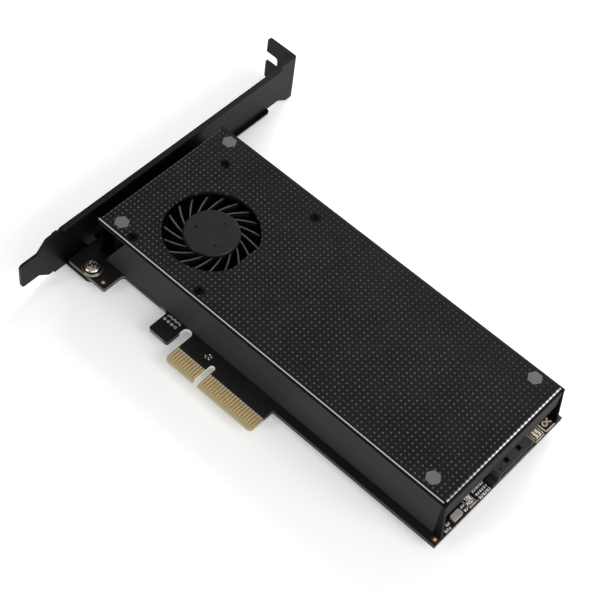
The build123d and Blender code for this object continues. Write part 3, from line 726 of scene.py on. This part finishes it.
def floor_paint():
    """Pale floor that keeps the shadow and shows white round it."""
    graph = Graph("floor_paint", Roughness=1.0, Specular_IOR_Level=0.0)
    tone = graph.mix(graph.noise(300.0, 2.0), grey(236), grey(240))
    graph.surface(Base_Color=tone)
    path = graph.node("ShaderNodeLightPath", {})
    seen = graph.math("MAXIMUM", path.outputs["Is Camera Ray"], path.outputs["Is Glossy Ray"])
    seen = graph.math("MAXIMUM", seen, path.outputs["Is Transmission Ray"])
    graph.surface(Emission_Color=grey(255), Emission_Strength=graph.times(seen, floor_lift))
    return graph.material


def mesh_object(name, build):
    """Object from a mesh that was made in millimetres."""
    mesh = bpy.data.meshes.new(name)
    build.to_mesh(mesh)
    build.free()
    made = bpy.data.objects.new(name, mesh)
    bpy.context.collection.objects.link(made)
    return made


def settle(made):
    """Turn an object's modifiers into its mesh."""
    graph = bpy.context.evaluated_depsgraph_get()
    graph.update()
    mesh = bpy.data.meshes.new_from_object(made.evaluated_get(graph))
    made.modifiers.clear()
    made.data = mesh


def finish_piece(made, material, body):
    """Bring a piece to metres, smooth it, give it its material and hang it on its body."""
    made.data.transform(Matrix.Scale(MM, 4))
    made.data.set_sharp_from_angle(angle=radians(sharp_angle))
    made.data.materials.clear()
    made.data.materials.append(material)
    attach(made, body)


def circle(x, y, radius, steps):
    """Points round a circle."""
    turns = [2 * pi * i / steps for i in range(steps)]
    return [(x + radius * cos(turn), y + radius * sin(turn)) for turn in turns]


def turned(profile, steps=48):
    """Body of revolution about Z from (radius, height) points, closed on the axis."""
    build = bmesh.new()
    rings = []
    for radius, height in profile:
        if radius == 0:
            rings.append([build.verts.new((0, 0, height))])
            continue
        rings.append([build.verts.new((x, y, height)) for x, y in circle(0, 0, radius, steps)])
    for lower, upper in zip(rings, rings[1:]):
        for i in range(steps):
            j = (i + 1) % steps
            corners = [lower[i % len(lower)], lower[j % len(lower)], upper[j % len(upper)],
                       upper[i % len(upper)]]
            build.faces.new(list(dict.fromkeys(corners)))
    bmesh.ops.recalc_face_normals(build, faces=build.faces)
    return build


def cross_cutter(length, width, depth, top):
    """Tapered cross that cuts a driver recess below the level top."""
    build = bmesh.new()
    for turn in (0, 1):
        corners = []
        for level, share in ((top + recess_start, 1.0), (top - depth, recess_taper)):
            for sx, sy in ((-1, -1), (1, -1), (1, 1), (-1, 1)):
                point = Vector((sx * length / 2 * share, sy * width / 2 * share, level))
                if turn:
                    point = Vector((-point.y, point.x, point.z))
                corners.append(build.verts.new(point))
        build.faces.new(corners[:4])
        build.faces.new(corners[4:])
        for i in range(4):
            j = (i + 1) % 4
            build.faces.new((corners[i], corners[j], corners[4 + j], corners[4 + i]))
    bmesh.ops.recalc_face_normals(build, faces=build.faces)
    return build


def screw_mesh(profile, recess, bevel):
    """Screw standing on z = 0 with a cross recess in its head and soft edges."""
    screw = mesh_object("screw_blank", turned(profile))
    top = max(height for _, height in profile)
    cutter = mesh_object("recess_cutter", cross_cutter(*recess, top))
    cut = screw.modifiers.new("recess", "BOOLEAN")
    cut.object = cutter
    cut.operation = "DIFFERENCE"
    cut.solver = "EXACT"
    cut.use_self = True
    settle(screw)
    soft = screw.modifiers.new("soft", "BEVEL")
    soft.width = bevel
    soft.segments = 2
    soft.limit_method = "ANGLE"
    soft.angle_limit = radians(bevel_angle)
    settle(screw)
    mesh = screw.data
    bpy.data.objects.remove(cutter)
    bpy.data.objects.remove(screw)
    return mesh


def screws(name, mesh, sites, level, flip, material, node):
    """Copies of a screw at its sites, in place of a node."""
    for number, (x, y) in enumerate(sites, 1):
        copy = mesh.copy()
        turn = Matrix.Rotation(pi, 4, "X") if flip else Matrix.Identity(4)
        spin = Matrix.Rotation(radians(spin_start + spin_step * number), 4, "Z")
        copy.transform(Matrix.Translation((x, y, level)) @ turn @ spin)
        piece = bpy.data.objects.new(f"{name}_{number}", copy)
        bpy.context.collection.objects.link(piece)
        finish_piece(piece, material, "card")
        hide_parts(node)


def flat_ring(build, x, y, outer, inner, level, height, steps=24):
    """Thin ring, or a disc where inner is 0."""
    circles = []
    for radius in (outer, inner):
        if radius:
            points = circle(x, y, radius, steps)
            circles.append([build.verts.new((px, py, level + height)) for px, py in points])
    rim = [build.verts.new((v.co.x, v.co.y, level)) for v in circles[0]]
    if inner:
        for i in range(steps):
            j = (i + 1) % steps
            build.faces.new((circles[0][i], circles[0][j], circles[1][j], circles[1][i]))
    else:
        build.faces.new(circles[0])
    for i in range(steps):
        j = (i + 1) % steps
        build.faces.new((rim[i], rim[j], circles[0][j], circles[0][i]))


def flat_bar(build, x0, x1, y0, y1, level, height):
    """Thin rectangle with its four sides."""
    corners = ((x0, y0), (x1, y0), (x1, y1), (x0, y1))
    top = [build.verts.new((x, y, level + height)) for x, y in corners]
    low = [build.verts.new((v.co.x, v.co.y, level)) for v in top]
    build.faces.new(top)
    for i in range(4):
        j = (i + 1) % 4
        build.faces.new((low[i], low[j], top[j], top[i]))


def flat_frame(build, x0, x1, y0, y1, line, level, height):
    """Outline of a rectangle, drawn with a line of the given width."""
    flat_bar(build, x0, x1, y0, y0 + line, level, height)
    flat_bar(build, x0, x1, y1 - line, y1, level, height)
    flat_bar(build, x0, x0 + line, y0, y1, level, height)
    flat_bar(build, x1 - line, x1, y0, y1, level, height)


def footprints(node):
    """Limits in x and y of the separate solids of a node, in millimetres."""
    build = bmesh.new()
    build.from_mesh(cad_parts[node].data)
    bmesh.ops.remove_doubles(build, verts=build.verts, dist=1e-6)
    found = []
    left = set(build.verts)
    while left:
        group = []
        front = [left.pop()]
        while front:
            vert = front.pop()
            group.append(vert.co.copy())
            for edge in vert.link_edges:
                other = edge.other_vert(vert)
                if other in left:
                    left.remove(other)
                    front.append(other)
        xs = [point.x / MM for point in group]
        ys = [point.y / MM for point in group]
        found.append((min(xs), max(xs), min(ys), max(ys)))
    build.free()
    return sorted(found)


def centres(node):
    """Middles of the separate solids of a node, seen from above."""
    return [((x0 + x1) / 2, (y0 + y1) / 2) for x0, x1, y0, y1 in footprints(node)]


def hook_pads():
    """Two rows of small pads at the root of the hook, the upper one closer set."""
    build = bmesh.new()
    for row, shift in ((zigzag_row, zigzag_lift), (square_row, 0)):
        count, start, pitch, length, low, high, line = row
        for column in range(count):
            x = start + pitch * column
            lift = shift if column % 2 else -shift
            flat_frame(build, x, x + length, low + lift, high + lift, line, board_top, ink_height)
    return build


def tongue_marks():
    """Small cluster of white pads above the key notch."""
    build = bmesh.new()
    for x, y, size in tongue_pads:
        flat_bar(build, x - size / 2, x + size / 2, y - size / 3, y + size / 3, board_top,
                 ink_height)
    return build


def end_marks():
    """White outlines round the header, the port and the small parts at the far end."""
    build = bmesh.new()
    flat_frame(build, *header_outline, board_top, ink_height)
    flat_frame(build, *oscillator_outline, board_top, ink_height)
    flat_bar(build, *oscillator_bar, board_top, ink_height)
    flat_bar(build, *port_bar, board_top, ink_height)
    flat_frame(build, *light_outline, board_top, ink_height)
    flat_bar(build, *corner_bar, board_top, ink_height)
    return build


def gold_pads():
    """Round fiducials at two corners of the board."""
    build = bmesh.new()
    for x, y in fiducials:
        flat_ring(build, x, y, fiducial_radius, 0, board_top, pad_height)
    return build


def header_rings():
    """Tinned rings round the header's two holes, on both faces."""
    build = bmesh.new()
    for y in header_ys:
        flat_ring(build, header_x, y, ring_outer, ring_inner, board_top, pad_height)
        flat_ring(build, header_x, y, ring_outer, ring_inner, board_low, -pad_height)
    return build


def solder():
    """Bright solder round the foot of each capacitor end."""
    build = bmesh.new()
    rim = solder_rim
    for x0, x1, y0, y1 in footprints("capacitor_ends"):
        flat_bar(build, x0 - rim, x1 + rim, y0 - rim, y1 + rim, board_top, solder_height)
    return build


def bare_patches():
    """Places where the mask is left open round the fiducials and the header."""
    build = bmesh.new()
    for x, y in fiducials:
        flat_ring(build, x, y, fiducial_opening, fiducial_radius, board_top, patch_height)
    flat_bar(build, *header_patch, board_top, header_patch_height)
    return build


def lamp(name, direction, distance, size, radiance):
    """Square soft lamp that looks at the middle of the card."""
    light = bpy.data.lights.new(name, "AREA")
    light.shape = "SQUARE"
    light.size = size
    light.energy = radiance * pi * size * size
    place = Vector(camera_target) + Vector(direction).normalized() * distance
    made = bpy.data.objects.new(name, light)
    made.location = place
    made.rotation_euler = (Vector(camera_target) - place).to_track_quat("-Z", "Y").to_euler()
    bpy.context.collection.objects.link(made)


def make_world():
    """Grey studio, pale near the horizon and darker overhead."""
    world = bpy.data.worlds.new("studio")
    bpy.context.scene.world = world
    world.use_nodes = True
    nodes = world.node_tree.nodes
    links = world.node_tree.links
    place = nodes.new("ShaderNodeTexCoord")
    parts = nodes.new("ShaderNodeSeparateXYZ")
    fade = nodes.new("ShaderNodeMapRange")
    fade.interpolation_type = "SMOOTHSTEP"
    fade.inputs["From Min"].default_value = world_fade[0]
    fade.inputs["From Max"].default_value = world_fade[1]
    fade.inputs["To Min"].default_value = world_horizon
    fade.inputs["To Max"].default_value = world_zenith
    links.new(place.outputs["Generated"], parts.inputs[0])
    links.new(parts.outputs[2], fade.inputs["Value"])
    links.new(fade.outputs[0], nodes["Background"].inputs["Strength"])
    nodes["Background"].inputs["Color"].default_value = (1, 1, 1, 1)


def make_floor():
    """Plain floor just under the lowest point of the card."""
    build = bmesh.new()
    bmesh.ops.create_grid(build, x_segments=4, y_segments=4, size=floor_size / 2 / MM)
    floor = mesh_object("floor", build)
    floor.data.transform(Matrix.Translation((0, 0, floor_level)))
    floor.data.transform(Matrix.Scale(MM, 4))
    floor.data.materials.append(floor_paint())


def make_camera():
    """Camera at the photograph's viewing angle."""
    camera = bpy.data.cameras.new("camera")
    camera.lens = camera_lens
    camera.sensor_width = camera_sensor
    camera.clip_start, camera.clip_end = camera_clip
    made = bpy.data.objects.new("camera", camera)
    place = Vector(camera_place)
    aim = (Vector(camera_target) - place).to_track_quat("-Z", "Y").to_matrix().to_4x4()
    roll = Matrix.Rotation(radians(-camera_roll), 4, "Z")
    made.matrix_world = Matrix.Translation(place) @ aim @ roll
    bpy.context.collection.objects.link(made)
    bpy.context.scene.camera = made


make_world()
make_floor()
make_camera()
for lamp_name, setting in lamps.items():
    lamp(lamp_name, *setting)

# Materials
ink = print_ink()
gold = contact_gold()
steel = screw_metal()
black_steel = plastic("black_screw", grey(4), 0.5, grain=0.2, gloss=0.03)
tin = metal("tin", colour(252, 250, 246), 0.34, grain=0.25, depth=0.02, share=0.2)
black_plastic = plastic("black_plastic", grey(24), 0.46)
epoxy = plastic("chip_epoxy", grey(30), 0.55, grain=0.15, depth=0.015)
dress = {
    "circuit_board": board_mask(),
    "edge_contacts": gold,
    "bracket": bracket_paint(),
    "cover": cover_paint(),
    "cover_standoffs": standoff_metal(),
    "fan_housing": plastic("housing_plastic", grey(18), 0.5),
    "fan_impeller": impeller_plastic(),
    "fan_shaft": metal("shaft_steel", grey(190), 0.16, stretch=(1, 1, 6)),
    "fan_bearing": metal("sintered_bronze", colour(150, 112, 70), 0.5, grain=0.12, depth=0.03),
    "rotor_magnet": metal("magnet", grey(70), 0.6, grain=0.15, depth=0.02),
    "stator_core": laminations(),
    "stator_coils": winding(),
    "fan_header": plastic("header_nylon", colour(214, 206, 186), 0.5),
    "drive_socket": black_plastic,
    "drive_socket_contacts": gold,
    "drive_standoff": tin,
    "drive_screw": steel,
    "cable_port_shell": plastic("port_shell", grey(70), 0.48, grain=0.2, depth=0.01),
    "cable_port_insert": black_plastic,
    "cable_port_contacts": gold,
    "crystal_can": can_metal(),
    "oscillator": speckled("oscillator_ceramic", colour(255, 238, 228), grey(26), 0.6),
    "chip_capacitors": plastic("capacitor_ceramic", colour(58, 50, 44), 0.5, grain=0.15),
    "capacitor_ends": tin,
    "end_chip": epoxy,
    "status_light": light_body(),
    "controller_chip": epoxy,
    "regulator_chip": epoxy,
    "power_inductor": plastic("ferrite", grey(58), 0.62, grain=0.12, depth=0.04),
}
for node_name, material in dress.items():
    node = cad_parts[node_name]
    for material_slot in node.material_slots:
        material_slot.material = material

# Screws
flange_screw = screw_mesh(pan_flange, flange_recess, flange_bevel)
pan_screw = screw_mesh(low_pan, pan_recess, pan_bevel)
flat_screw = screw_mesh(countersunk, flat_recess, flat_bevel)
screws("bracket_screw", flange_screw, centres("bracket_screws"), 0.0, False, steel,
       "bracket_screws")
screws("standoff_screw", pan_screw, centres("standoff_screws"), board_low, True, black_steel,
       "standoff_screws")
screws("fan_screw", flat_screw, centres("fan_screws"), cover_top - flat_head_depth, False,
       black_steel, "fan_screws")

# Print and pads on the board
bare = plastic("bare_laminate", colour(58, 34, 14), 0.5, grain=0.2)
ring_tin = metal("ring_tin", colour(255, 236, 218), 0.34, grain=0.2, depth=0.01, share=0.1)
pad_gold = metal("pad_gold", colour(236, 212, 160), 0.38, grain=0.2, depth=0.01, share=0.3)
for name, maker, material, slot in (
        ("hook_pads", hook_pads, ink, "board"),
        ("tongue_marks", tongue_marks, ink, "board"),
        ("end_marks", end_marks, ink, "board"),
        ("gold_pads", gold_pads, pad_gold, "gold"),
        ("header_rings", header_rings, ring_tin, "gold"),
        ("solder", solder, tin, "steel"),
        ("bare_patches", bare_patches, bare, "board")):
    build = maker()
    bmesh.ops.recalc_face_normals(build, faces=build.faces)
    finish_piece(mesh_object(name, build), material, "card")

bpy.context.scene.view_settings.view_transform = "Standard"
